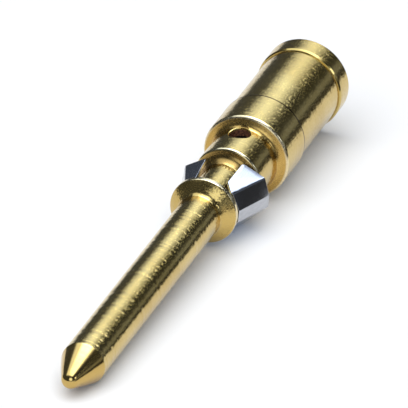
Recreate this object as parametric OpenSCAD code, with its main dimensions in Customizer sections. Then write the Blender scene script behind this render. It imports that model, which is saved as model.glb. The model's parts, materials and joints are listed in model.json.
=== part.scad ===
// Crimp contact of a circular connector: one turned and plated pin, drilled at the
// back for the wire, and one folded spring clip that sits loosely on its neck.
// It lies as it comes to rest on a table, on the flat foot of the clip and on the
// edge where the pin turns into its nose. The pin points to +X.

/* [Pin] */
// Diameter of the mating pin
pin_d = 2; // [1.6:0.05:2.4]
// Length of the pin, from the collar to the nose
pin_l = 14.85; // [10:0.05:18]
// Length of the nose, its cone and its round tip together
nose_l = 1.9; // [1.4:0.05:2.6]
// Radius of the round tip
tip_r = 0.4; // [0.25:0.05:0.55]

/* [Collar and neck] */
// Diameter of the collar
collar_d = 3.08; // [2.9:0.02:3.4]
// Thickness of the collar at its rim
collar_t = 0.25; // [0.2:0.05:0.9]
// Radius of the collar's round front edge
collar_round = 0.06; // [0.04:0.02:0.1]
// Radius of the hollow flare from the pin up to the collar's rim
collar_flare = 0.6; // [0.3:0.02:0.8]
// Diameter of the neck that carries the clip
neck_d = 2.06; // [1.8:0.02:2.2]
// Length of the neck
neck_l = 2.8; // [2.6:0.05:3.6]
// Radius of the hollows at both ends of the neck
neck_fillet = 0.25; // [0.1:0.05:0.3]

/* [Crimp barrel] */
// Diameter of the section with the inspection hole
sight_d = 3.08; // [2.9:0.02:3.4]
// Length of the section with the inspection hole
sight_l = 2.35; // [1.9:0.05:3]
// Radius of the hollow between that section and the shoulder
shoulder_fillet = 0.22; // [0.1:0.02:0.24]
// Diameter of the band in front of the crimp zone
band_d = 3.95; // [3.9:0.05:4.1]
// Length of the band
band_l = 2.2; // [1.5:0.05:3]
// Radius of the band's round front edge
band_round = 0.16; // [0.08:0.02:0.2]
// Diameter of the crimp zone
crimp_d = 3.76; // [3.5:0.02:3.84]
// Length of the crimp zone
crimp_l = 4.55; // [3.5:0.05:6]
// Diameter of the rear rim
rim_d = 3.95; // [3.9:0.05:4.1]
// Length of the rear rim
rim_l = 1.1; // [0.7:0.05:1.6]
// Chamfer on the turned edges
edge_chamfer = 0.06; // [0.03:0.01:0.09]

/* [Wire bore] */
// Diameter of the wire bore
bore_d = 2.3; // [2:0.05:2.5]
// Diameter of the inspection hole
sight_hole_d = 0.95; // [0.7:0.05:1.1]
// Distance of the inspection hole's centre from the shoulder
sight_hole_inset = 0.72; // [0.7:0.02:1]
// Length of full bore past the inspection hole
bore_past_hole = 0.1; // [0.05:0.05:0.25]
// Full angle of the drill's point
drill_angle = 118; // [110:1:140]
// Chamfer at the bore's mouth
mouth_chamfer = 0.22; // [0.1:0.02:0.3]
// Chamfer round the inspection hole
sight_chamfer = 0.08; // [0.04:0.02:0.12]

/* [Clip] */
// Thickness of the spring sheet
clip_sheet = 0.11; // [0.08:0.01:0.14]
// Length of the clip along the neck
clip_l = 2.1; // [1.7:0.05:2.3]
// Gap between the clip's rear edge and the end of the neck
clip_gap = 0.25; // [0.05:0.05:0.4]
// Gap between the neck and the edges of the clip's slot
clip_play = 0.09; // [0.06:0.01:0.14]
// How much further out the front folds stand than the slot's edges
fold_rise = 0.2; // [0.15:0.01:0.26]
// Diameter over the folds at the flared rear edge
clip_rear_d = 4.12; // [4:0.02:4.4]
// How far the first folds stand in from that circle
first_fold_in = 0.12; // [0:0.01:0.16]
// How far the third folds stand out from that circle
third_fold_out = 0.1; // [0:0.01:0.14]
// Rise of the slot's edges towards the rear
flap_rise = 0.15; // [0:0.01:0.24]
// Angle from the top to the slot's edges
slot_angle = 37.5; // [34:0.5:44]
// Angle from the top to the first fold, at the rear edge
first_fold = 74; // [70:1:80]
// Angle from the top to the second fold, at the rear edge
second_fold = 98.5; // [92:0.5:104]
// Angle from the top to the third fold, at the rear edge
third_fold = 113; // [108:1:124]
// Angle from the top to the fold beside the flat foot
foot_fold = 158; // [154:1:162]
// Angle by which the first fold leans to the top, at the front edge
fold_lean = 14.5; // [6:0.5:16]
// Outer radius of the folds
bend_r = 0.16; // [0.14:0.02:0.24]
// Cut back of the flaps' front corners
flap_setback = 0.45; // [0.2:0.05:0.7]
// Radius of the flaps' rear corners
flap_corner = 0.2; // [0.12:0.02:0.4]

/* [Hidden] */
$fn = 64;
// Small overlap where one cut runs into another
over = 0.05;

// Stations along the axis, from the rear face to the tip
crimp_x = rim_l;
band_x = crimp_x + crimp_l;
shoulder_x = band_x + band_l;
neck_x = shoulder_x + sight_l;
collar_x = neck_x + neck_l;
pin_x = collar_x + collar_t;
cone_x = pin_x + pin_l;
tip_x = cone_x + nose_l;
sight_hole_x = shoulder_x + sight_hole_inset;
bore_l = sight_hole_x + sight_hole_d / 2 + bore_past_hole;

// A hollow ends where the round edge or chamfer of its wall begins
pin_wall = (collar_d - pin_d) / 2 - collar_round;
shoulder_hollow = min(shoulder_fillet, (band_d - sight_d) / 2 - band_round);
neck_wall = (min(sight_d, collar_d) - neck_d) / 2 - edge_chamfer;
neck_hollow = min(neck_fillet, neck_wall);

// The cone touches the round tip along a circle
tip_centre_x = tip_x - tip_r;
cone_run = tip_centre_x - cone_x;
cone_angle = atan(pin_d / 2 / cone_run) - asin(tip_r / norm([cone_run, pin_d / 2]));

// The clip's sheet, from its rear edge to its front edge
clip_x = neck_x + clip_gap;
clip_front_x = clip_x + clip_l;
flap_front_r = neck_d / 2 + clip_play + clip_sheet;
flap_rear_r = flap_front_r + flap_rise;
fold_front_r = flap_front_r + fold_rise;
fold_rear_r = clip_rear_d / 2;
clip_rows = 2;
flap_steps = 8;
bend_steps = 5;

// At rest the nose edge is down with whatever lies lowest behind it
foot_drop = fold_rear_r * cos(180 - foot_fold);
supports = [
    [clip_x, foot_drop],
    [shoulder_x - band_round, band_d / 2],
    [edge_chamfer, rim_d / 2],
];
rest_tilt = atan(max([for (s = supports) (s[1] - pin_d / 2) / (cone_x - s[0])]));
axis_height = cone_x * sin(rest_tilt) + pin_d / 2 * cos(rest_tilt);

// Ends of the tilted part along X, to centre it on its origin
rest_x_min = -(rim_d / 2 - edge_chamfer) * sin(rest_tilt);
rest_x_max = tip_centre_x * cos(rest_tilt) + tip_r;

// Half profile of a turned step, with chamfers on its rear and front edges
module turned_step(d, x0, x1, rear = 0, front = 0) {
    polygon([
        [0, x0], [d / 2 - rear, x0], [d / 2, x0 + rear],
        [d / 2, x1 - front], [d / 2 - front, x1], [0, x1],
    ]);
}

// Round front edge of a turned step that ends at x
module round_edge(d, x, r) {
    translate([d / 2 - r, x - r])
        circle(r);
    translate([0, x - r])
        square([d / 2 - r, r]);
}

// Hollow in the corner between a shaft and the wall that it meets at x; a hollow that is
// larger than its wall ends at the top of the wall
module hollow_corner(shaft_d, x, r, side, wall = undef) {
    rise = is_undef(wall) ? r : min(r, wall);
    run = sqrt(pow(r, 2) - pow(r - rise, 2));
    translate([shaft_d / 2, x])
        difference() {
            translate([-over, side > 0 ? -over : -run])
                square([rise + over, run + over]);
            translate([r, side * run])
                circle(r);
        }
}

// Half profile of the whole turned piece
module turned_profile() {
    turned_step(rim_d, 0, crimp_x, edge_chamfer, edge_chamfer);
    turned_step(crimp_d, crimp_x - over, band_x + over);
    turned_step(band_d, band_x, shoulder_x - band_round, edge_chamfer);
    round_edge(band_d, shoulder_x, band_round);
    hollow_corner(sight_d, shoulder_x, shoulder_hollow, 1);
    turned_step(sight_d, shoulder_x - over, neck_x, 0, edge_chamfer);
    hollow_corner(neck_d, neck_x, neck_hollow, 1);
    turned_step(neck_d, neck_x - over, collar_x + over);
    hollow_corner(neck_d, collar_x, neck_hollow, -1);
    turned_step(collar_d, collar_x, pin_x - collar_round, edge_chamfer);
    round_edge(collar_d, pin_x, collar_round);
    hollow_corner(pin_d, pin_x, collar_flare, 1, pin_wall);
    turned_step(pin_d, pin_x - over, cone_x);
    nose_profile();
}

// Half profile of the nose: a cone that runs smoothly into the round tip
module nose_profile() {
    touch_x = tip_centre_x + tip_r * sin(cone_angle);
    polygon([
        [0, cone_x - over], [pin_d / 2, cone_x - over], [pin_d / 2, cone_x],
        [tip_r * cos(cone_angle), touch_x], [0, touch_x],
    ]);
    intersection() {
        translate([0, tip_centre_x])
            circle(tip_r);
        translate([0, tip_centre_x - tip_r])
            square([tip_r, 2 * tip_r]);
    }
}

// Blind bore for the wire, with the drill's point and a chamfered mouth
module wire_bore() {
    point_l = bore_d / 2 / tan(drill_angle / 2);
    translate([0, 0, -over])
        cylinder(d = bore_d, h = bore_l + over);
    translate([0, 0, bore_l])
        cylinder(d1 = bore_d, d2 = 0, h = point_l);
    cylinder(r1 = bore_d / 2 + mouth_chamfer, r2 = bore_d / 2, h = mouth_chamfer);
}

// Hole through the top wall, which shows whether the wire is all the way in
module sight_hole() {
    top = sight_d / 2;
    cylinder(d = sight_hole_d, h = top + over);
    translate([0, 0, top - sight_chamfer])
        cylinder(r1 = sight_hole_d / 2, r2 = sight_hole_d / 2 + 2 * sight_chamfer, h = 2 * sight_chamfer);
}

// Lay the part down: the axis leans to the nose until both supports touch the table
module at_rest() {
    translate([-(rest_x_min + rest_x_max) / 2, 0, axis_height])
        rotate([0, rest_tilt, 0])
            children();
}

module contact_body() {
    color("#c9a548")
        at_rest()
            difference() {
                rotate([0, 90, 0])
                    rotate_extrude()
                        turned_profile();
                rotate([0, 90, 0])
                    wire_bore();
                translate([sight_hole_x, 0, 0])
                    sight_hole();
            }
}

// Point of a cross section, from its distance to the axis and its angle from the top
function polar(r, angle) = [r * sin(angle), r * cos(angle)];
function between(a, b, share) = a + (b - a) * share;
function unit(v) = v / norm(v);
function mirrored(path) = [for (i = [len(path) - 1:-1:0]) [-path[i][0], path[i][1]]];

// Corners of the clip's right half: the slot's edge first, then the folds down to the foot
fold_angles = [first_fold, second_fold, third_fold, foot_fold];
fold_leans = fold_lean * [1, 0.2, -0.3, 0];
fold_steps = [-first_fold_in, 0, third_fold_out, 0];
function front_corner(i) = i == 0
    ? polar(flap_front_r, slot_angle)
    : polar(fold_front_r + fold_steps[i - 1], fold_angles[i - 1] - fold_leans[i - 1]);
function rear_corner(i) = i == 0
    ? polar(flap_rear_r, slot_angle)
    : polar(fold_rear_r + fold_steps[i - 1], fold_angles[i - 1]);

// Half section at a share of the way from the front edge to the rear edge
function corners(share) = [
    for (i = [0:len(fold_angles)]) between(front_corner(i), rear_corner(i), share)
];

// Points along one bend, which replaces the corner of a fold
function bend(before, corner, after) =
    let (
        turn = acos(unit(corner - before) * unit(after - corner)),
        reach = bend_r * tan(turn / 2),
        start = corner + reach * unit(before - corner),
        end = corner + reach * unit(after - corner)
    )
    [
        for (k = [0:bend_steps])
            let (s = k / bend_steps)
            between(between(start, corner, s), between(corner, end, s), s)
    ];

// Shares of the flap's width, close together where its rear corner is round
flap_shares = [for (k = [0:flap_steps - 1]) pow(k / flap_steps, 2)];

// Outer line of the whole section, from one edge of the slot round to the other
function outer_line(share) =
    let (
        c = corners(share),
        last = len(c) - 1,
        foot = [-c[last][0], c[last][1]],
        bends = [
            for (i = [1:last])
                each bend(c[i - 1], c[i], i == last ? foot : c[i + 1])
        ],
        half = concat([for (f = flap_shares) between(c[0], bends[0], f)], bends)
    )
    concat(half, mirrored(half));

// The same line on the inner face of the sheet
function inner_line(line) = [
    for (i = [0:len(line) - 1])
        let (
            along = unit(line[min(i + 1, len(line) - 1)] - line[max(i - 1, 0)])
        )
        line[i] + clip_sheet * [along[1], -along[0]]
];

// Place along the axis of each point of a line: the flaps' front corners are cut back and
// their rear corners are round
function edge_share(i, count) = let (k = min(i, count - 1 - i)) k < flap_steps ? flap_shares[k] : 1;
function corner_cut(share) =
    let (w = min(share * norm(rear_corner(1) - rear_corner(0)), flap_corner))
    flap_corner - sqrt(pow(flap_corner, 2) - pow(flap_corner - w, 2));
function place(i, count, share) =
    let (f = edge_share(i, count))
    between(clip_front_x - flap_setback * (1 - f), clip_x + corner_cut(f), share);

// Two triangles between four corners
function two_triangles(a, b, c, d) = [[a, b, c], [a, c, d]];

module retention_clip() {
    rows = [for (j = [0:clip_rows]) outer_line(j / clip_rows)];
    count = len(rows[0]);
    inside = (clip_rows + 1) * count;
    faces_of = [rows, [for (line = rows) inner_line(line)]];
    points = [
        for (face = faces_of, j = [0:clip_rows], i = [0:count - 1])
            let (p = face[j][i])
            [place(i, count, j / clip_rows), p[0], p[1]]
    ];
    outer_face = [
        for (j = [0:clip_rows - 1], i = [0:count - 2])
            let (a = j * count + i)
            each two_triangles(a, a + count, a + count + 1, a + 1)
    ];
    inner_face = [for (t = outer_face) [t[2] + inside, t[1] + inside, t[0] + inside]];
    front_edge = [
        for (i = [0:count - 2])
            each two_triangles(i, i + 1, i + 1 + inside, i + inside)
    ];
    rear = clip_rows * count;
    rear_edge = [
        for (t = front_edge) [t[2] + rear, t[1] + rear, t[0] + rear]
    ];
    slot_edge = [
        for (j = [0:clip_rows - 1])
            let (a = j * count)
            each two_triangles(a, a + inside, a + inside + count, a + count)
    ];
    far_slot_edge = [for (t = slot_edge) [t[2] + count - 1, t[1] + count - 1, t[0] + count - 1]];
    color("#b9bdc3")
        at_rest()
            polyhedron(
                points = points,
                faces = concat(outer_face, inner_face, front_edge, rear_edge, slot_edge, far_slot_edge),
                convexity = 4
            );
}

contact_body();
retention_clip();
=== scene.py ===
# %% [markdown]
# # A gold plated crimp contact and its spring clip
#
# This is one of the pins of a round plug. A wire goes into the hollow barrel at its back and is crimped
# there, and the folded clip on its neck snaps behind a step inside the plug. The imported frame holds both
# pieces at their real sizes. This file dresses them: it turns a finer body, folds a finer clip, mixes the
# two metals and sets up the light and the camera. Lengths are in millimetres until a piece is finished.

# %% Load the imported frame
import json
import math
from types import SimpleNamespace

import bmesh
import bpy
from mathutils import Matrix, Vector


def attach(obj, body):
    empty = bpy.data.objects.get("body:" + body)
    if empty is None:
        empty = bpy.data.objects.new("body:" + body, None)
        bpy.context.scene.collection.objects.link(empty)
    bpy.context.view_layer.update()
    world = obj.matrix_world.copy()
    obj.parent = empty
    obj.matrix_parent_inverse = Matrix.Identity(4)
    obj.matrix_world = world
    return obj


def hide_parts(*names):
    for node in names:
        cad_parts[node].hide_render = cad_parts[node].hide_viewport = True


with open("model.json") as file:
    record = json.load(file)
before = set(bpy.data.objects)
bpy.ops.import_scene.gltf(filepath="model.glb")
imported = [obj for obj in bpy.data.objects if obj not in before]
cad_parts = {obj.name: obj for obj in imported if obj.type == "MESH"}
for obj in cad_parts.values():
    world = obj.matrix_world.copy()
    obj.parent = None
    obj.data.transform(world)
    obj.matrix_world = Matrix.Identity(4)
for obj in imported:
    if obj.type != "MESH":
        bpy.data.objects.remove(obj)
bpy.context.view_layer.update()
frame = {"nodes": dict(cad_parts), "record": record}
MM = 0.001
print("nodes in the frame:", sorted(frame["nodes"]))

# %% [markdown]
# ## The axis that everything is turned about
#
# The contact lies on a table and dips a little towards its tip. All of its shapes are easy to describe
# along its own axis, so they are built there and laid down with one matrix at the end. The axis comes from
# the pin's mount in the record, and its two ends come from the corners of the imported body. That way
# nothing has to be measured twice, and a new pack moves the dressed pieces with it.

# %% Find the axis of the contact
mounts = {mount["name"]: mount for mount in frame["record"]["mounts"]}
axis = Vector(mounts["contact_pin"]["axis"]).normalized()
on_axis = Vector(mounts["contact_pin"]["pos_m"])
body_corners = frame["nodes"]["contact_body"].data.vertices
stations = [(corner.co - on_axis).dot(axis) for corner in body_corners]
rear_end = on_axis + axis * min(stations)
tip_end = on_axis + axis * max(stations)
across = Vector((0, 1, 0))
lie_down = Matrix((axis, across, axis.cross(across))).transposed().to_4x4()
lie_down.translation = rear_end
print(f"contact length {(tip_end - rear_end).length / MM:.3f} mm")

# %% [markdown]
# ## Outlines with rounded corners
#
# No edge of a real turned part is perfectly sharp: even a crisp one has a tiny round that catches a line of
# light. A Bevel modifier could add those rounds, but it needs to be told which edges to take. An outline
# is simpler. Each corner is written as a place and a radius, and this helper puts the arc in. It also
# adds two guard points to every long straight stretch, close to its ends, so that smooth shading bends only
# on the arc and the long faces stay flat.

# %% Round the corners of an outline
ARC_STEP = math.radians(8)
FEWEST_STEPS = 3
GUARD = 0.03
GUARDED_LENGTH = 4 * GUARD


def corner_arc(before, corner, after):
    """Points of the arc that takes the place of a corner, which is (along, out, radius)."""
    point = Vector(corner[:2])
    radius = corner[2]
    if radius == 0:
        return [point]
    to_before = (Vector(before[:2]) - point).normalized()
    to_after = (Vector(after[:2]) - point).normalized()
    turn = math.pi - to_before.angle(to_after)
    reach = radius * math.tan(turn / 2)
    centre = point + (to_before + to_after).normalized() * radius / math.cos(turn / 2)
    start = point + to_before * reach - centre
    end = point + to_after * reach - centre
    square_on = (end - start * math.cos(turn)) / math.sin(turn)
    steps = max(FEWEST_STEPS, math.ceil(turn / ARC_STEP))
    angles = [turn * k / steps for k in range(steps + 1)]
    return [centre + start * math.cos(a) + square_on * math.sin(a) for a in angles]


def rounded_outline(corners):
    """An open outline whose inner corners are arcs, with guard points on its straight stretches."""
    outline = [Vector(corners[0][:2])]
    arcs = [corner_arc(*three) for three in zip(corners, corners[1:], corners[2:])]
    for arc in arcs + [[Vector(corners[-1][:2])]]:
        straight = arc[0] - outline[-1]
        if straight.length > GUARDED_LENGTH:
            guard = straight.normalized() * GUARD
            outline += [outline[-1] + guard, arc[0] - guard]
        outline += arc
    return outline


corner_points = len(corner_arc((0, 1, 0), (0, 0, 0.1), (1, 0, 0)))
print("a square corner becomes", corner_points, "points")

# %% [markdown]
# ## Turning and cutting
#
# A lathe holds the bar and turns it, so every shape it cuts is an outline swept round the axis. Blender's
# spin does the same. The Screw modifier would too, but spin gives the mesh at once, with both ends closed
# where the outline meets the axis. A hole from the side can't be turned, so it is drilled with a Boolean,
# whose result is kept as a plain mesh. Other shapes are built from rings of corners, one after the other.

# %% Turn an outline, join rings and drill a piece
MERGE = 1e-5


def as_object(name, mesh):
    """Link a finished bmesh into the scene as an object."""
    data = bpy.data.meshes.new(name)
    bmesh.ops.remove_doubles(mesh, verts=mesh.verts, dist=MERGE)
    bmesh.ops.recalc_face_normals(mesh, faces=mesh.faces)
    mesh.to_mesh(data)
    mesh.free()
    piece = bpy.data.objects.new(name, data)
    bpy.context.scene.collection.objects.link(piece)
    return piece


def turned(name, outline, segments):
    """A closed piece, made by turning an outline of (along, out) points about X."""
    mesh = bmesh.new()
    points = [mesh.verts.new((along, 0, out)) for along, out in outline]
    edges = [mesh.edges.new(pair) for pair in zip(points, points[1:])]
    bmesh.ops.spin(
        mesh, geom=points + edges, cent=(0, 0, 0), axis=(1, 0, 0),
        angle=2 * math.pi, steps=segments, use_merge=True,
    )
    return as_object(name, mesh)


def join_rings(mesh, rings):
    """Faces between each ring of corners and the next one."""
    for ring, next_ring in zip(rings, rings[1:]):
        for k, corner in enumerate(ring):
            mesh.faces.new((ring[k - 1], corner, next_ring[k], next_ring[k - 1]))


def drilled(piece, drill):
    """Cut the drill's shape out of a piece and keep the result as its mesh."""
    modifier = piece.modifiers.new("drill", "BOOLEAN")
    modifier.operation = "DIFFERENCE"
    modifier.solver = "EXACT"
    modifier.object = drill
    cut_piece = piece.evaluated_get(bpy.context.evaluated_depsgraph_get())
    mesh = bpy.data.meshes.new_from_object(cut_piece)
    piece.modifiers.clear()
    piece.data = mesh
    bpy.data.objects.remove(drill)
    return piece


print("turning, joining and drilling: ready")

# %% [markdown]
# ## The turned body
#
# The body is cut from one brass bar. From the back it has a rim, a slightly thinner crimp zone, a band, a
# step down to the section with the inspection hole, a neck for the clip, a thin collar that flares down
# into the pin, and the pin with its cone and round tip. The wire's bore is drilled from the back, a little
# past the inspection hole, and ends in a drill point. A turner reads such a part as a row of diameters and
# lengths, so its sizes are kept in that way, and the places along the axis add up from the rear end.

# %% Sizes of the turned body
pin_r = mounts["contact_pin"]["dims"]["r_mm"]
bore_r = mounts["crimp_bore"]["dims"]["r_mm"]
rim_r = 3.95 / 2
crimp_r = 3.76 / 2
band_r = 3.95 / 2
sight_r = 3.08 / 2
neck_r = 2.06 / 2
collar_r = 3.08 / 2
tip_r = 0.4
hole_r = 0.95 / 2

rim_length = 1.1
crimp_length = 4.55
band_length = 2.2
sight_length = 2.35
neck_length = 2.8
collar_length = 0.25
pin_length = 14.85
hole_from_shoulder = 0.72
bore_past_hole = 0.1
drill_angle = math.radians(118)

crimp_x = rim_length
band_x = crimp_x + crimp_length
shoulder_x = band_x + band_length
neck_x = shoulder_x + sight_length
collar_x = neck_x + neck_length
pin_x = collar_x + collar_length
cone_x = pin_x + pin_length
tip_x = (tip_end - rear_end).length / MM
hole_x = shoulder_x + hole_from_shoulder
bore_end = hole_x + hole_r + bore_past_hole
drill_end = bore_end + bore_r / math.tan(drill_angle / 2)
print(f"body is {tip_x:.2f} mm long and its bore ends {drill_end:.2f} mm from the rear")

# %% [markdown]
# ## The nose of the pin
#
# The cone runs out smoothly into the round tip, so its angle follows from the pin, the tip and the length
# that is left for both. A perfectly straight cone would mirror one even band of light. A polished nose
# bulges very slightly, which gives that band its soft core, so the outline has one more corner half way
# along the cone: a fortieth of a millimetre outside of it, with a very large radius.

# %% Nose of the pin
nose_bulge = 0.025
nose_round = 24
cone_run = tip_x - tip_r - cone_x
cone_angle = math.atan(pin_r / cone_run) - math.asin(tip_r / math.hypot(cone_run, pin_r))
tip_corner = tip_r * math.tan((math.pi / 2 - cone_angle) / 2)
half_cone = (pin_r - tip_r * math.cos(cone_angle)) / math.sin(cone_angle) / 2
nose_x = cone_x + half_cone * math.cos(cone_angle) + nose_bulge * math.sin(cone_angle)
nose_r = pin_r - half_cone * math.sin(cone_angle) + nose_bulge * math.cos(cone_angle)
print(f"the cone leans in by {math.degrees(cone_angle):.1f} degrees")

# %% [markdown]
# ## The outline
#
# One outline holds all of the body, from the drill point round the rear face to the tip, so inside and
# outside are one closed skin. Three lists keep it readable: the bore, the barrel and the front. Edges that
# look sharp get a radius of a fiftieth of a millimetre. The shoulder, the waist behind the neck and the
# flare are short slopes with wider rounds, because that is where the light draws broad soft lines.

# %% Outline of the turned body
crisp = 0.02
chamfer = 0.06
mouth_chamfer = 0.22
rim_slope = 0.1
rim_round = 0.04
shoulder_slope = 0.2
shoulder_round = 0.18
shoulder_fillet = 0.25
waist_slope = 0.2
waist_round = 0.12
waist_fillet = 0.5
collar_fillet = 0.25
collar_round = 0.09
flare_slope = 0.46
flare_fillet = 0.3
cone_round = 0.06

bore_outline = [
    (drill_end, 0, 0),
    (bore_end, bore_r, crisp),
    (mouth_chamfer, bore_r, crisp),
    (0, bore_r + mouth_chamfer, crisp),
]
barrel_outline = [
    (0, rim_r - chamfer, crisp),
    (chamfer, rim_r, crisp),
    (crimp_x - rim_slope, rim_r, rim_round),
    (crimp_x, rim_r - rim_slope / 2, crisp),
    (crimp_x, crimp_r, crisp / 2),
    (band_x, crimp_r, crisp / 2),
    (band_x, band_r - chamfer, crisp / 2),
    (band_x + chamfer, band_r, crisp),
    (shoulder_x, band_r, shoulder_round),
    (shoulder_x + shoulder_slope, sight_r, shoulder_fillet),
]
front_outline = [
    (neck_x, sight_r, waist_round),
    (neck_x + waist_slope, neck_r, waist_fillet),
    (collar_x, neck_r, collar_fillet),
    (collar_x, collar_r - chamfer, crisp),
    (collar_x + chamfer, collar_r, crisp),
    (pin_x, collar_r, collar_round),
    (pin_x + flare_slope, pin_r, flare_fillet),
    (cone_x, pin_r, cone_round),
    (nose_x, nose_r, nose_round),
    (tip_x, tip_corner, tip_r),
    (tip_x, 0, 0),
]
body_outline = rounded_outline(bore_outline + barrel_outline + front_outline)
print("body outline has", len(body_outline), "points")

# %% [markdown]
# ## The inspection hole
#
# Whoever crimps the wire looks into this hole to see that the strands reach all the way in. It is drilled
# from above into the bore, and polishing has left a small round on its edge, which shows as a bright line.
# A round countersink would be deep on two sides of the hole and missing on the other two, because the wall
# is curved. So the cutter is built from rings that follow the wall: each point of a ring knows how high
# the wall is at its place, and the rings widen towards the top in a quarter round.

# %% Turn the body and drill the inspection hole
BODY_SEGMENTS = 192
HOLE_SEGMENTS = 72
ROUND_DEGREES = range(0, 71, 10)
hole_round = 0.07
cutter_margin = 0.03
cutter_lip = 0.06
cutter_rise = 0.4
cutter_floor = 0.3
cutter_peak = sight_r + 0.5


def cutter_ring(mesh, radius, depth):
    """One ring of the cutter, this deep below the curved wall."""
    ring = []
    for k in range(HOLE_SEGMENTS):
        turn = 2 * math.pi * (k + 0.5) / HOLE_SEGMENTS
        x = radius * math.cos(turn)
        y = radius * math.sin(turn)
        ring.append(mesh.verts.new((hole_x + x, y, math.sqrt(sight_r ** 2 - y ** 2) - depth)))
    return ring


def hole_cutter():
    """A drill with a flared top, closed by a fan of faces at each end."""
    mesh = bmesh.new()
    rounds = [math.radians(angle) for angle in ROUND_DEGREES]
    flare = [(hole_r + hole_round * (1 - math.cos(a)), hole_round * (1 - math.sin(a))) for a in rounds]
    widest = flare[-1][0] + cutter_margin
    sizes = [(hole_r, bore_r)] + flare + [(widest, -cutter_lip), (widest, -cutter_rise)]
    rings = [cutter_ring(mesh, radius, depth) for radius, depth in sizes]
    join_rings(mesh, rings)
    for ring, height in ((rings[0], cutter_floor), (rings[-1], cutter_peak)):
        middle = mesh.verts.new((hole_x, 0, height))
        for k, corner in enumerate(ring):
            mesh.faces.new((ring[k - 1], corner, middle))
    return as_object("hole_cutter", mesh)


contact_body = turned("contact_body_turned", body_outline, BODY_SEGMENTS)
cutter = hole_cutter()
bpy.context.view_layer.update()
contact_body = drilled(contact_body, cutter)
print("turned body has", len(contact_body.data.polygons), "faces")

# %% [markdown]
# ## The folded clip
#
# The clip is a strip of thin spring sheet, folded into flat facets round the neck and left open on top. Its
# two flaps lie close to the neck, and its sides flare out to the rear, where they catch in the plug. A
# Solidify modifier on a bent strip would do, but the cut edges of the sheet are the brightest lines
# on the piece, so they get real round corners. The sheet is built as a row of thin upright slices: each
# slice is a long rectangle with round corners, and the row goes from one edge of the slot to the other.

# %% Sizes and corners of the clip
clip_sheet = 0.11
clip_play = 0.09
clip_length = 2.1
clip_from_neck = 0.25
flap_flare = 0.15
flap_setback = 0.45
flap_corner = 0.2
fold_rise = 0.2
fold_rear_r = 4.12 / 2
fold_lean = math.radians(14.5)
bend_r = 0.16
slot_angle = math.radians(37.5)
fold_angles = [math.radians(angle) for angle in (74, 98.5, 113, 158)]
fold_steps = [-0.12, 0, 0.1, 0]
front_leans = [fold_lean * share for share in (1, 0.2, -0.3, 0)]
rear_leans = [0, 0, 0, 0]

clip_rear_x = neck_x + clip_from_neck
clip_front_x = clip_rear_x + clip_length
flap_front_r = neck_r + clip_play + clip_sheet
flap_rear_r = flap_front_r + flap_flare
fold_front_r = flap_front_r + fold_rise


def at_angle(r, angle):
    """A point of the clip's section, by its distance from the axis and its angle from the top."""
    return Vector((r * math.sin(angle), r * math.cos(angle)))


def clip_corners(flap, fold, leans):
    """Corners of one half of the section: the slot's edge, then the folds down to the foot."""
    folds = zip(fold_steps, fold_angles, leans)
    return [at_angle(flap, slot_angle)] + [at_angle(fold + s, angle - lean) for s, angle, lean in folds]


front_corners = clip_corners(flap_front_r, fold_front_r, front_leans)
rear_corners = clip_corners(flap_rear_r, fold_rear_r, rear_leans)
print(f"clip is {clip_length:.2f} mm long and {2 * fold_rear_r:.2f} mm over its rear folds")

# %% [markdown]
# ## From corners to slices
#
# At each fold the sheet follows a small bend, drawn here as a curve with the corner as its handle. The flap
# needs slices close together at its free edge, because its rear corner is round and its front corner is
# cut back at a slant. The inner face is the outer line moved in by the thickness of the sheet.

# %% Lines of the clip's section at its front and rear edges
BEND_STEPS = 10
FLAP_STEPS = 26
EDGE_STEPS = 8
sheet_round = 0.025
flap_width = (rear_corners[1] - rear_corners[0]).length
edge_angles = [math.pi / 2 * k / EDGE_STEPS for k in range(EDGE_STEPS)]
edge_widths = [sheet_round * (1 - math.cos(a)) for a in edge_angles]
flap_widths = [sheet_round + (flap_width - sheet_round) * (k / FLAP_STEPS) ** 2 for k in range(FLAP_STEPS)]
flap_shares = [width / flap_width for width in edge_widths + flap_widths]


def bend(before, corner, after):
    """Points of one bend, with a guard point before and after it."""
    back = (before - corner).normalized()
    on = (after - corner).normalized()
    reach = bend_r * math.tan((math.pi - back.angle(on)) / 2)
    start = corner + back * reach
    end = corner + on * reach
    shares = [k / BEND_STEPS for k in range(BEND_STEPS + 1)]
    curve = [start.lerp(corner, s).lerp(corner.lerp(end, s), s) for s in shares]
    return [start + back * GUARD] + curve + [end + on * GUARD]


def outer_line(corners):
    """Outer line of the whole section, from one edge of the slot round the foot to the other."""
    foot = Vector((-corners[-1].x, corners[-1].y))
    ends = corners + [foot]
    bends = [bend(*three) for three in zip(ends, ends[1:], ends[2:])]
    flap = [corners[0].lerp(bends[0][0], share) for share in flap_shares]
    half = flap + [point for curve in bends for point in curve]
    return half + [Vector((-point.x, point.y)) for point in reversed(half)]


def inner_line(line):
    """The same line on the inner face of the sheet."""
    steps = [b - a for a, b in zip([line[0]] + line, line[1:] + [line[-1]])]
    return [p + Vector((s.y, -s.x)).normalized() * clip_sheet for p, s in zip(line, steps)]


front_line = outer_line(front_corners)
rear_line = outer_line(rear_corners)
front_inside = inner_line(front_line)
rear_inside = inner_line(rear_line)
print("the clip has", len(front_line), "slices")

# %% [markdown]
# ## Slices to a closed sheet
#
# A slice is described flat first: how far along the clip and how deep in the sheet each of its points is.
# The first and last slices shrink, which rounds the edges of the slot in the same way as the front and
# rear edges. Neighbouring slices are then joined by faces.

# %% Build the clip
SLICE_ROWS = 8
ROUND_STEPS = 8
quarters = [0, math.pi / 2, math.pi, 3 * math.pi / 2]


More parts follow.
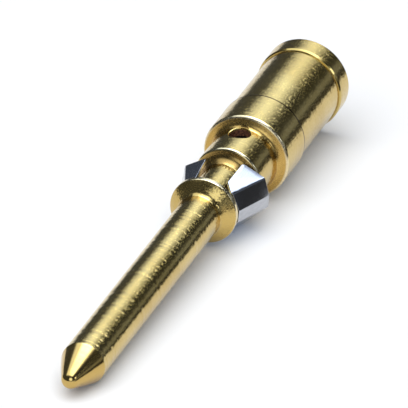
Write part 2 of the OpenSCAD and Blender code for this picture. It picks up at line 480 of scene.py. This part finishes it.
def flat_slice(length, inset):
    """Points of a slice as shares of its length, from the front, and of the sheet's thickness."""
    r = sheet_round - inset
    near, far = sheet_round, clip_sheet - sheet_round
    front, rear = sheet_round, length - sheet_round
    centres = [(rear, near), (rear, far), (front, far), (front, near)]
    points = []
    for i, (along, depth) in enumerate(centres):
        turns = [quarters[i] - math.pi / 2 * (1 - k / ROUND_STEPS) for k in range(ROUND_STEPS + 1)]
        points += [(along + r * math.cos(a), depth + r * math.sin(a)) for a in turns]
        if i % 2:
            last = points[-1]
            towards = front if i == 1 else rear
            shares = [k / SLICE_ROWS for k in range(1, SLICE_ROWS)]
            points += [(last[0] + (towards - last[0]) * s, last[1]) for s in shares]
    return [(along / length, depth / clip_sheet) for along, depth in points]


def corner_cut(width):
    """How far the flap's round rear corner cuts into the slice at this distance from its edge."""
    inside = flap_corner - min(width, flap_corner)
    return flap_corner - math.sqrt(flap_corner ** 2 - inside ** 2)


def clip_slice(i):
    """Points in space of one slice of the clip."""
    k = min(i, len(front_line) - 1 - i)
    share = flap_shares[k] if k < len(flap_shares) else 1
    inset = sheet_round * (1 - math.sin(edge_angles[k])) if k < EDGE_STEPS else 0
    front_x = clip_front_x - flap_setback * (1 - share)
    rear_x = clip_rear_x + corner_cut(share * flap_width)
    points = []
    for along, depth in flat_slice(front_x - rear_x, inset):
        outside = front_line[i].lerp(rear_line[i], along)
        inside = front_inside[i].lerp(rear_inside[i], along)
        point = outside.lerp(inside, depth)
        points.append((front_x + (rear_x - front_x) * along, point.x, point.y))
    return points


clip_mesh = bmesh.new()
slices = [[clip_mesh.verts.new(p) for p in clip_slice(i)] for i in range(len(front_line))]
join_rings(clip_mesh, slices)
clip_mesh.faces.new(slices[0])
clip_mesh.faces.new(slices[-1])
retention_clip = as_object("retention_clip_folded", clip_mesh)
print("folded clip has", len(retention_clip.data.polygons), "faces")

# %% [markdown]
# ## Writing shaders as sums
#
# A material in Blender is a net of nodes. Wiring a sum by hand takes a node for each sign, so this small
# class wraps one output of a node and lets Python's own operators add the Math nodes. Any other node comes
# from one method, which sets the node's options first and its inputs second. Soft masks are needed so often
# that they have methods of their own.

# %% A wire that can be added and multiplied
class Wire:
    """One output in a node tree, or the tree alone while nothing has been added yet."""

    def __init__(self, tree, socket=None):
        self.tree = tree
        self.socket = socket

    def node(self, kind, settings=None, inputs=None, out=0):
        """Add a node: its type, its settings and its inputs, by name or by number."""
        made = self.tree.nodes.new(kind)
        for name, value in (settings or {}).items():
            setattr(made, name, value)
        for key, value in (inputs or {}).items():
            if isinstance(value, Wire):
                self.tree.links.new(value.socket, made.inputs[key])
            else:
                made.inputs[key].default_value = value
        return Wire(self.tree, made.outputs[out] if made.outputs else None)

    def output(self, name):
        """Another output of the same node."""
        return Wire(self.tree, self.socket.node.outputs[name])

    def math(self, operation, *values):
        """A Math node on numbers and wires."""
        return self.node("ShaderNodeMath", {"operation": operation}, dict(enumerate(values)))

    def vector(self, operation, *values):
        """A Vector Math node on vectors and wires."""
        return self.node("ShaderNodeVectorMath", {"operation": operation}, dict(enumerate(values)))

    def times_vector(self, vector):
        """A vector scaled by this number."""
        scaled = {0: vector, "Scale": self}
        return self.node("ShaderNodeVectorMath", {"operation": "SCALE"}, scaled)

    def fade(self, low, high):
        """0 below the low value, 1 above the high one, and smooth in between."""
        ends = {"Value": self, "From Min": low, "From Max": high}
        return self.node("ShaderNodeMapRange", {"interpolation_type": "SMOOTHSTEP"}, ends)

    def plateau(self, start, full, fading, gone):
        """0 up to the start, 1 from full to fading, and 0 again from where it is gone."""
        return self.fade(start, full) * (1 - self.fade(fading, gone))

    def within(self, low, high, soft):
        """1 between the two values and 0 outside of them, with soft borders of this width."""
        return self.plateau(low - soft, low, high, high + soft)

    def mix(self, colour, other):
        """The first colour where this number is 0 and the other where it is 1."""
        return self.node("ShaderNodeMix", {"data_type": "RGBA"}, {0: self, 6: colour, 7: other}, out=2)

    def __add__(self, other):
        return self.math("ADD", self, other)

    def __radd__(self, other):
        return self.math("ADD", other, self)

    def __sub__(self, other):
        return self.math("SUBTRACT", self, other)

    def __rsub__(self, other):
        return self.math("SUBTRACT", other, self)

    def __mul__(self, other):
        return self.math("MULTIPLY", self, other)

    def __rmul__(self, other):
        return self.math("MULTIPLY", other, self)

    def __truediv__(self, other):
        return self.math("DIVIDE", self, other)

    def __rtruediv__(self, other):
        return self.math("DIVIDE", other, self)


def new_material(name):
    """An empty material and the wire that its nodes are added with."""
    material = bpy.data.materials.new(name)
    material.use_nodes = True
    material.node_tree.nodes.clear()
    return material, Wire(material.node_tree)


print("wires: ready")

# %% [markdown]
# ## Where a point of the body is
#
# Plating doesn't look the same everywhere: the pin is ringed more than the barrel, the hollows are duller,
# the nose is polished and a warmer gold, and the bore is dull brass. Some of the colour is painted light: a
# redder tint in the hollows and the flare stands in for light bounced between gold faces, paler gold on
# the edges is a painted sheen, and painted shade darkens the waist under the clip, the line at the band's
# step and the inside of the bore. Vertex groups or painted masks could say which place is which. The body
# is turned, though, so two numbers are enough: how far along the axis a point is, and how far out from it.
# Each mask is a soft range of them, tied to the sizes of the outline.

# %% Masks of the body's places
PER_MM = 1 / MM
OUT_SHARE = 1.37
nose_polish = 0.8
starts = {
    "pin": (pin_x + 0.4, pin_x + 1.0),
    "near_nose": (cone_x - 4, cone_x - 0.5),
    "nose": (cone_x - 0.05, cone_x + 0.1),
}
spans = {
    "band_step": (band_x - 0.02, band_x + 0.12, 0.03),
    "shoulder_edge": (shoulder_x - 0.06, shoulder_x + 0.02, 0.04),
    "shoulder": (shoulder_x, shoulder_x + 0.25, 0.06),
    "waist_edge": (neck_x - 0.06, neck_x, 0.03),
    "waist": (neck_x + 0.06, neck_x + 0.45, 0.06),
    "collar_edge": (collar_x + chamfer, pin_x, 0.03),
    "flare": (pin_x + 0.02, pin_x + 0.5, 0.1),
}
bore_mouth = (mouth_chamfer - 0.02, mouth_chamfer + 0.28)
bore_bottom = (bore_end + 0.455, bore_end + 0.655)
bore_wall = (bore_r + 0.27, bore_r + 0.33)
face_depth = (mouth_chamfer - 0.02, mouth_chamfer + 0.08)
rim_edge = (rim_r - 0.06, rim_r - 0.02)


def body_places(wire):
    """Where a point of the body is, as a place, a path along the outline and masks from 0 to 1."""
    place = wire.node("ShaderNodeTexCoord", out="Object")
    from_rear = wire.vector("SUBTRACT", place, rear_end)
    round_axis = wire.vector("CROSS_PRODUCT", axis, from_rear)
    along = wire.vector("DOT_PRODUCT", from_rear, axis).output("Value") * PER_MM
    out = wire.vector("LENGTH", round_axis).output("Value") * PER_MM
    masks = {name: along.fade(*ends) for name, ends in starts.items()}
    masks.update({name: along.within(*span) for name, span in spans.items()})

    at = SimpleNamespace(place=place, round_axis=round_axis, normal=place.output("Normal"), **masks)
    at.path = along + out * OUT_SHARE
    at.calm = 1 - at.nose * nose_polish
    at.coves = at.shoulder + at.waist
    at.edges = at.collar_edge + at.shoulder_edge + at.waist_edge
    at.bore = along.plateau(*bore_mouth, *bore_bottom) * (1 - out.fade(*bore_wall))
    at.rear_face = (1 - along.fade(*face_depth)) * (1 - out.fade(*rim_edge))
    return at


print("masks for", ", ".join([*starts, *spans]))

# %% [markdown]
# ## Turning marks
#
# Plating follows every mark of the lathe, so the contact is ringed like a record: the tool's feed leaves
# grooves of about a tenth of a millimetre, some deeper than others. A bump map could draw them, but bump
# depends on the size of the pixel at this small scale. Tilting the normal along the outline is steadier.
# The tilt is a noise of one number, the distance along the outline, so that it stays the same all the way
# round. A second noise, stretched round the axis, breaks the rings into shorter arcs, and a third one is
# the fine grain that pits the surface.

# %% Turning marks in the normal
NOISE_MIDDLE = 0.5
TO_WORLD = {"vector_type": "NORMAL", "convert_from": "OBJECT", "convert_to": "WORLD"}
ring_noise = {"Scale": 4.0, "Detail": 4.0, "Roughness": 0.75}
along_scale = 7
arc_scale = 1.2
grain_scale = 14
arc_tilt = 0.08


def stretched_noise(wire, at, around_scale):
    """Noise with one scale per millimetre round the axis and another along the outline."""
    section = wire.vector("MULTIPLY", at.round_axis, [around_scale * PER_MM] * 3)
    place = wire.vector("ADD", section, (at.path * along_scale).times_vector(axis))
    return wire.node("ShaderNodeTexNoise", inputs={"Vector": place, "Scale": 1.0, "Detail": 2.0})


def grooved_normal(wire, at, grain):
    """The normal, tilted along the outline by rings and arcs and roughened by pits."""
    rings = wire.node("ShaderNodeTexNoise", {"noise_dimensions": "1D"}, {"W": at.path, **ring_noise})
    arcs = stretched_noise(wire, at, arc_scale)
    ring_tilt = 0.09 + at.pin * 0.18 + at.near_nose * 0.15 + at.flare * 0.3 + at.coves * 0.5
    pit_depth = 0.14 + at.pin * 0.02 + at.flare * 0.2 - at.coves * 0.06
    tilt = ((rings - NOISE_MIDDLE) * ring_tilt + (arcs - NOISE_MIDDLE) * arc_tilt) * at.calm
    around = wire.vector("NORMALIZE", at.round_axis)
    downhill = wire.vector("CROSS_PRODUCT", around, at.normal)
    grooved = wire.vector("ADD", at.normal, tilt.times_vector(downhill))
    pits = wire.vector("SUBTRACT", grain.output("Color"), [NOISE_MIDDLE] * 3)
    pitted = wire.vector("ADD", grooved, (pit_depth * at.calm).times_vector(pits))
    return wire.node("ShaderNodeVectorTransform", TO_WORLD, {0: wire.vector("NORMALIZE", pitted)})


print(f"grain is about {1 / grain_scale:.2f} mm wide")

# %% [markdown]
# ## Gold plating
#
# The gold is a few thousandths of a millimetre thick and varies a little in colour, in soft patches. Some
# light and shade is painted into the colour too: a redder tint in the hollows and the flare stands in for
# light bounced between gold faces, painted shade darkens the waist under the clip and the fine line at the
# band's step, and paler gold on the edges is a painted sheen. The nose gets a warmer gold. Inside the bore
# there is dull drilled brass, darkened further by painted shade. A picture of plated metal could be
# wrapped round the body, but its highlights would stay put in every light. Mixing plain colours by the
# masks keeps the highlights moving with the light.

# %% Gold plating
gold_light = (0.6, 0.45, 0.16, 1)
gold_deep = (0.53, 0.38, 0.12, 1)
# painted bounce light: a redder gold for the hollows and the flare; it also gives the nose a warmer gold tone
warm_gold_and_painted_bounce = (0.53, 0.33, 0.09, 1)
# painted sheen: paler gold that whitens the highlight lines on the rounded edges
painted_edge_sheen = (0.85, 0.76, 0.52, 1)
# dull brass of the bore, darkened by painted shade; the second colour is deeper painted shade in mottled
# patches
shaded_bore_brass = (0.2, 0.09, 0.05, 1)
bore_deep_shade = (0.06, 0.025, 0.015, 1)
# painted shade, for the waist under the clip and the fine line at the band's step
step_shade = (0.1, 0.06, 0.025, 1)
patch_noise = {"Scale": 420.0, "Detail": 3.0}
gold_roughness = 0.15


def plating_colour(wire, at, grain):
    """Gold in soft patches, with painted bounce light, sheen and shade by place, and shaded brass in the bore.
    """
    patches = wire.node("ShaderNodeTexNoise", inputs={"Vector": at.place, **patch_noise})
    plated = patches.fade(0.3, 0.7).mix(gold_light, gold_deep)
    # painted bounce light in the hollows and the flare, and a warmer tone on the nose
    plated = (at.coves * 0.9 + at.flare * 0.3 + at.nose * 0.5).mix(plated, warm_gold_and_painted_bounce)
    # painted shade on the waist, where the clip's flaps hang over the neck
    plated = (at.waist * 0.4).mix(plated, step_shade)
    # painted sheen on the collar, shoulder and waist edges
    plated = (at.edges * 0.6).mix(plated, painted_edge_sheen)
    # painted shade in the fine line behind the band's step
    plated = at.band_step.mix(plated, step_shade)
    # dull brass in the bore, with painted shade in mottled patches
    shaded_bore_wall = grain.fade(0.4, 0.6).mix(shaded_bore_brass, bore_deep_shade)
    return at.bore.mix(plated, shaded_bore_wall)


def gold_plating():
    """Bright plating over turning marks, polished on the nose and duller in the hollows."""
    material, wire = new_material("gold_plating")
    at = body_places(wire)
    grain = stretched_noise(wire, at, grain_scale)
    speck = grain.fade(0.5, 0.72) * at.calm
    dull = at.flare * 0.05 + at.coves * 0.12 + at.bore * 0.25 + at.rear_face * 0.18
    metal = wire.node("ShaderNodeBsdfPrincipled", inputs={
        "Base Color": plating_colour(wire, at, grain),
        "Metallic": 1 - at.bore * 0.8,
        "Roughness": gold_roughness + speck * 0.11 + dull,
        "Normal": grooved_normal(wire, at, grain),
    })
    wire.node("ShaderNodeOutputMaterial", inputs={"Surface": metal})
    return material


gold = gold_plating()
print("gold plating has", len(gold.node_tree.nodes), "nodes")

# %% [markdown]
# ## Bright spring sheet
#
# The clip is stamped from cold rolled sheet. It is smooth enough to mirror the room, and what gives it away
# as sheet metal is a very faint grain along the rolling direction and a slow waviness left by the folding.
# Both tilt the normal a little. A perfectly flat mirror would look like plastic film.

# %% Spring steel
steel_light = (0.47, 0.48, 0.51, 1)
steel_deep = (0.41, 0.42, 0.45, 1)
steel_roughness = 0.13
grain_stretch = (900.0, 14000.0, 14000.0)
grain_noise = {"Scale": 1.0, "Detail": 2.0}
wave_noise = {"Scale": 1100.0, "Detail": 1.0}
dent_depth = 0.04


def spring_steel():
    """Rolled sheet, bright, with a faint grain along the clip and slow waves."""
    material, wire = new_material("spring_steel")
    place = wire.node("ShaderNodeTexCoord", out="Object")
    normal = wire.node("ShaderNodeNewGeometry", out="Normal")
    stretched = wire.vector("MULTIPLY", place, grain_stretch)
    grain = wire.node("ShaderNodeTexNoise", inputs={"Vector": stretched, **grain_noise})
    waves = wire.node("ShaderNodeTexNoise", inputs={"Vector": place, **wave_noise})
    uneven = wire.vector("ADD", waves.output("Color"), grain.output("Color"))
    uneven = wire.vector("SUBTRACT", uneven, [2 * NOISE_MIDDLE] * 3)
    dents = wire.vector("MULTIPLY", uneven, [dent_depth] * 3)
    metal = wire.node("ShaderNodeBsdfPrincipled", inputs={
        "Base Color": grain.fade(0.3, 0.7).mix(steel_light, steel_deep),
        "Metallic": 1.0,
        "Roughness": steel_roughness + (grain - NOISE_MIDDLE) * 0.1,
        "Normal": wire.vector("NORMALIZE", wire.vector("ADD", normal, dents)),
    })
    wire.node("ShaderNodeOutputMaterial", inputs={"Surface": metal})
    return material


steel = spring_steel()
print("spring steel has", len(steel.node_tree.nodes), "nodes")

# %% [markdown]
# ## Handing the pieces over
#
# Both pieces are still in millimetres, upright on their axis. They are brought to metres, shaded smooth with
# breaks at real edges, and laid down with the matrix from the start. Each one stands in for its node of
# the frame and rides on its only body.

# %% Finish the two pieces
EDGE_ANGLE = math.radians(14)


def finished(piece, material):
    """Lay a piece down in metres, shade it and give it its metal."""
    piece.data.transform(lie_down @ Matrix.Scale(MM, 4))
    piece.data.shade_smooth()
    piece.data.set_sharp_from_angle(angle=EDGE_ANGLE)
    piece.data.materials.clear()
    piece.data.materials.append(material)


finished(contact_body, gold)
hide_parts("contact_body")
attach(contact_body, "root")

finished(retention_clip, steel)
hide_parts("retention_clip")
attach(retention_clip, "root")
print("pieces:", contact_body.name, retention_clip.name)

# %% [markdown]
# ## The camera
#
# The photograph was taken with a long lens from the front right of the contact and from about 25 degrees
# above it. A far camera with a very long lens gives the same flat perspective. Its aim follows from one
# known spot, the tip of the pin, whose place in the picture fixes where the picture's centre looks.

# %% Camera
PICTURE = 408
azimuth = math.radians(110.23)
elevation = math.radians(24.75)
pixels_per_mm = 23.465
tip_pixel = (67.4, 383.6)
lens = 1500

backward = Vector((
    math.sin(azimuth) * math.cos(elevation),
    -math.cos(azimuth) * math.cos(elevation),
    math.sin(elevation),
))
rightward = Vector((math.cos(azimuth), math.sin(azimuth), 0))
upward = backward.cross(rightward)
right_of_tip = (PICTURE / 2 - tip_pixel[0]) / pixels_per_mm * MM
above_tip = (tip_pixel[1] - PICTURE / 2) / pixels_per_mm * MM
looks_at = tip_end + rightward * right_of_tip + upward * above_tip

camera_data = bpy.data.cameras.new("camera")
camera_data.sensor_width = 36
camera_data.lens = lens
camera_data.clip_end = 20
camera_far = lens / camera_data.sensor_width * PICTURE / pixels_per_mm * MM
camera = bpy.data.objects.new("camera", camera_data)
camera.location = looks_at + backward * camera_far
camera.rotation_mode = "QUATERNION"
camera.rotation_quaternion = (-backward).to_track_quat("-Z", "Y")
bpy.context.scene.collection.objects.link(camera)
bpy.context.scene.camera = camera
bpy.context.scene.view_settings.view_transform = "Standard"
print(f"camera is {camera_far:.3f} m away")

# %% [markdown]
# ## The table
#
# The contact lies on white paper. The sheet is a large plane just under it, which takes the soft shadow. A
# little glow, which only the camera and reflections see, brings the paper up to clean white, so the
# lamps can stay at a plain level. To the right the paper ends, and the metal there mirrors the dark
# room: a card that only reflections see gives that dark edge without cutting the paper in the picture. Its
# near edge bends in towards the clip, whose side facet mirrors nothing but the dark. The stage is in metres.

# %% Paper and dark card
PAPER_GAP = 0.005 * MM
PAPER_HALF = 3.0
paper_white = (0.88, 0.88, 0.88, 1)
paper_glow = (0.65, 0.78, 1, 1)
glow_strength = 0.14
card_black = (0.04, 0.04, 0.04, 1)
card_by_tip = (0.02, 0.0075)
card_by_pin = (-0.003, 0.0106)
card_by_clip = (-0.01, 0.0086)
card_by_barrel = (-0.03, 0.0143)
card_far_end = (-PAPER_HALF, 0.2)


def flat_sheet(name, outline, height, material):
    """A flat stage object at one height, from its outline of (x, y) points."""
    mesh = bmesh.new()
    mesh.faces.new([mesh.verts.new((x, y, height)) for x, y in outline])
    sheet = as_object(name, mesh)
    sheet.data.materials.append(material)
    return sheet


def white_paper():
    """Matt white, with a little glow for the camera and for reflections."""
    material, wire = new_material("white_paper")
    path = wire.node("ShaderNodeLightPath", out="Is Camera Ray")
    seen = path.output("Is Camera Ray") + path.output("Is Glossy Ray") + path.output("Is Transmission Ray")
    strength = wire.math("MINIMUM", seen, 1.0) * glow_strength
    matt = wire.node("ShaderNodeBsdfDiffuse", inputs={"Color": paper_white})
    glow = wire.node("ShaderNodeEmission", inputs={"Color": paper_glow, "Strength": strength})
    both = wire.node("ShaderNodeAddShader", inputs={0: matt, 1: glow})
    wire.node("ShaderNodeOutputMaterial", inputs={"Surface": both})
    return material


def black_card():
    """Matt black."""
    material, wire = new_material("dark_card")
    matt = wire.node("ShaderNodeBsdfDiffuse", inputs={"Color": card_black})
    wire.node("ShaderNodeOutputMaterial", inputs={"Surface": matt})
    return material


paper_outline = [
    (-PAPER_HALF, -PAPER_HALF), (PAPER_HALF, -PAPER_HALF),
    (PAPER_HALF, PAPER_HALF), (-PAPER_HALF, PAPER_HALF),
]
card_outline = [
    card_by_tip, (card_by_tip[0], PAPER_HALF), (-PAPER_HALF, PAPER_HALF),
    card_far_end, card_by_barrel, card_by_clip, card_by_pin,
]
flat_sheet("paper", paper_outline, -PAPER_GAP, white_paper())
dark_card = flat_sheet("dark_card", card_outline, PAPER_GAP, black_card())
dark_card.visible_camera = False
dark_card.visible_diffuse = False
dark_card.visible_shadow = False
dark_card.visible_transmission = False
print("paper and dark card laid out")

# %% [markdown]
# ## Light from soft panels
#
# Polished metal shows its surroundings, so the light is drawn as the metal sees it: a dark room with soft
# edged panels on its ceiling. The two slopes of a direction, to the front and to the side, say where on the
# ceiling it points. The panel at the back makes the long highlight on the pin and the barrel. The one
# overhead, brighter on its right, lights the cone, and a strip in it whitens the nose and the rounded
# edges. The last one is for the clip's right flap. Area lamps could do the same, but on the world's sky
# everything is far away, so that it lies the same on the thin pin and on the thick barrel.

# %% Panels on the ceiling
LOWEST_RISE = 0.02
HORIZON = (0.05, 0.2)
panels = {
    "back": {"level": 1.57, "front": (-3.2, -1.3, -1.2, -0.8), "side": (-1.0, -0.05, -0.1, 0.7)},
    "overhead": {"level": 1.5, "front": (-1.2, -0.8, 0.1, 0.6), "side": (-1.05, -0.7, 0.4, 0.75)},
    "overhead right": {"level": 1.5, "front": (-1.2, -0.8, 0.1, 0.6), "side": (-0.5, 0.3, 0.4, 0.75)},
    "strip": {"level": 4, "front": (-0.95, -0.75, -0.35, -0.15), "side": (-0.45, -0.15, 0.25, 0.55)},
    "flap": {"level": 3.5, "front": (-1.37, -1.27, -1.0, -0.9), "side": (0.43, 0.57, 0.85, 0.99)},
}


def ceiling(wire, parts):
    """Light of all panels, which start, are full, fade and end at their four slopes each way."""
    rise = parts.output("Z")
    height = wire.math("MAXIMUM", rise, LOWEST_RISE)
    to_front = parts.output("X") / height
    to_side = parts.output("Y") / height
    light = 0
    for panel in panels.values():
        place = to_front.plateau(*panel["front"]) * to_side.plateau(*panel["side"])
        light = light + place * panel["level"]
    return light * rise.fade(*HORIZON)


print("panels on the ceiling:", ", ".join(panels))

# %% [markdown]
# ## The dark room
#
# Below the panels the room is nearly dark, which is what makes gold look deep. A small card near the camera
# and a small lamp on the right give the round tip its two sparks. A faint glow low on the right and a faint
# wall on the left keep the dark sides from going black. Only reflections see this world: the paper is matt
# and gets its own lamp in the next step.

# %% World
room_level = 0.05
wall_level = 0.03
card_level = 1.7
lamp_level = 2.8
glow_level = 0.22
sky_colour = (0.95, 1.07, 1.28, 1)
lamp_direction = Vector((0, 0.906, 0.4235)).normalized()


def room(wire, direction, parts):
    """Light of the room itself: walls, a low glow, the card near the camera and the small lamp."""
    rise = parts.output("Z")
    right = parts.output("Y")
    card = wire.vector("DOT_PRODUCT", direction, backward).output("Value").fade(0.93, 0.97)
    lamp = wire.vector("DOT_PRODUCT", direction, lamp_direction).output("Value").fade(0.988, 0.995)
    low_glow = rise.plateau(0.02, 0.1, 0.17, 0.3) * right.fade(0.2, 0.5)
    wall = 1 - right.fade(-0.45, -0.2)
    return room_level + card * card_level + lamp * lamp_level + low_glow * glow_level + wall * wall_level


def studio_world():
    """The room and its ceiling, seen by reflections alone."""
    world = bpy.data.worlds.new("studio")
    world.use_nodes = True
    world.node_tree.nodes.clear()
    wire = Wire(world.node_tree)
    direction = wire.node("ShaderNodeTexCoord", out="Generated")
    parts = wire.node("ShaderNodeSeparateXYZ", inputs={0: direction})
    level = ceiling(wire, parts) + room(wire, direction, parts)
    light = wire.node("ShaderNodeBackground", inputs={"Color": sky_colour, "Strength": level})
    wire.node("ShaderNodeOutputWorld", inputs={"Surface": light})
    world.cycles_visibility.diffuse = False
    bpy.context.scene.world = world
    return world


studio = studio_world()
print("studio world has", len(studio.node_tree.nodes), "nodes")

# %% [markdown]
# ## A lamp for the paper
#
# The paper shows no reflections, only how much light it gets, and its shadow says where that light comes
# from: from high up and from all round, so the shadow stays close to the contact. The sky above is bright
# where the metal needs it, which is not where the shadow needs it. So the paper has a lamp of its own, a
# very wide sun that mirrors don't see.

# %% Lamp
sun_data = bpy.data.lights.new("paper_lamp", "SUN")
sun_data.energy = 3.6
sun_data.angle = math.radians(80)
sun = bpy.data.objects.new("paper_lamp", sun_data)
towards_sun = Vector((0.4, 0, 0.9)).normalized()
sun.rotation_mode = "QUATERNION"
sun.rotation_quaternion = towards_sun.to_track_quat("Z", "Y")
sun.visible_glossy = False
bpy.context.scene.collection.objects.link(sun)
print("paper lamp is", round(math.degrees(math.asin(towards_sun.z))), "degrees up")

# %% [markdown]
# ## The end
#
# The dressed part must stay as big as the imported one.
